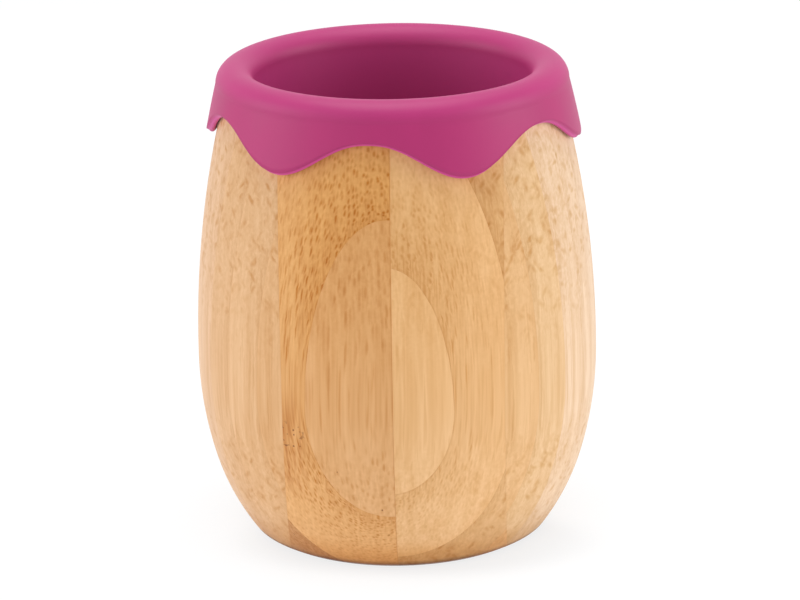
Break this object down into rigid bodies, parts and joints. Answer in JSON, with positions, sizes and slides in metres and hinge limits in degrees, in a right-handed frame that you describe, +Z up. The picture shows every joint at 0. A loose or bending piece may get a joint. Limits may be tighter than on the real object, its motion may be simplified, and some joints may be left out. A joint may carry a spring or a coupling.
{
  "type": "bamboo cup",
  "caption": "Barrel-shaped cup turned from laminated bamboo strips, with a lift-out silicone liner that rolls over the lip and ends in a drip-shaped edge.",
  "frame": {"origin": "centre of the foot, on the surface that the cup stands on", "axes": "+Z up along the cup's axis; -Y is the front, towards the viewer of the reference view; the glue seams between the boards lie in planes of constant X and those between the strips in planes of constant Y"},
  "size_m": [0.075, 0.075, 0.0892],
  "materials": {
    "outer_left_bamboo": "oiled, satin",
    "inner_left_bamboo": "oiled, satin",
    "inner_right_bamboo": "oiled, satin",
    "outer_right_bamboo": "oiled, satin",
    "silicone": "satin, soft"
  },
  "bodies": {
    "bamboo_cup": {"outer_left_strip_01": "outer_left_bamboo", "outer_left_strip_02": "outer_left_bamboo", "outer_left_strip_03": "outer_left_bamboo", "outer_left_strip_04": "outer_left_bamboo", "outer_left_strip_05": "outer_left_bamboo", "outer_left_strip_06": "outer_left_bamboo", "outer_left_strip_07": "outer_left_bamboo", "outer_left_strip_08": "outer_left_bamboo", "outer_left_strip_09": "outer_left_bamboo", "outer_left_strip_10": "outer_left_bamboo", "outer_left_strip_11": "outer_left_bamboo", "inner_left_strip_01": "inner_left_bamboo", "inner_left_strip_02": "inner_left_bamboo", "inner_left_strip_03": "inner_left_bamboo", "inner_left_strip_04": "inner_left_bamboo", "inner_left_strip_05": "inner_left_bamboo", "inner_left_strip_06": "inner_left_bamboo", "inner_left_strip_07": "inner_left_bamboo", "inner_left_strip_08": "inner_left_bamboo", "inner_left_strip_09": "inner_left_bamboo", "inner_left_strip_10": "inner_left_bamboo", "inner_left_strip_11": "inner_left_bamboo", "inner_right_strip_01": "inner_right_bamboo", "inner_right_strip_02": "inner_right_bamboo", "inner_right_strip_03": "inner_right_bamboo", "inner_right_strip_04": "inner_right_bamboo", "inner_right_strip_05": "inner_right_bamboo", "inner_right_strip_06": "inner_right_bamboo", "inner_right_strip_07": "inner_right_bamboo", "inner_right_strip_08": "inner_right_bamboo", "inner_right_strip_09": "inner_right_bamboo", "inner_right_strip_10": "inner_right_bamboo", "inner_right_strip_11": "inner_right_bamboo", "inner_right_strip_12": "inner_right_bamboo", "inner_right_strip_13": "inner_right_bamboo", "inner_right_strip_14": "inner_right_bamboo", "outer_right_strip_01": "outer_right_bamboo", "outer_right_strip_02": "outer_right_bamboo", "outer_right_strip_03": "outer_right_bamboo", "outer_right_strip_04": "outer_right_bamboo", "outer_right_strip_05": "outer_right_bamboo", "outer_right_strip_06": "outer_right_bamboo", "outer_right_strip_07": "outer_right_bamboo", "outer_right_strip_08": "outer_right_bamboo", "outer_right_strip_09": "outer_right_bamboo", "outer_right_strip_10": "outer_right_bamboo", "outer_right_strip_11": "outer_right_bamboo"},
    "liner": {"silicone_liner": "silicone"}
  },
  "joints": [
    {"name": "liner_lift", "type": "slide", "parent": "bamboo_cup", "child": "liner", "axis": [0, 0, 1], "range_m": [0, 0.09]}
  ]
}
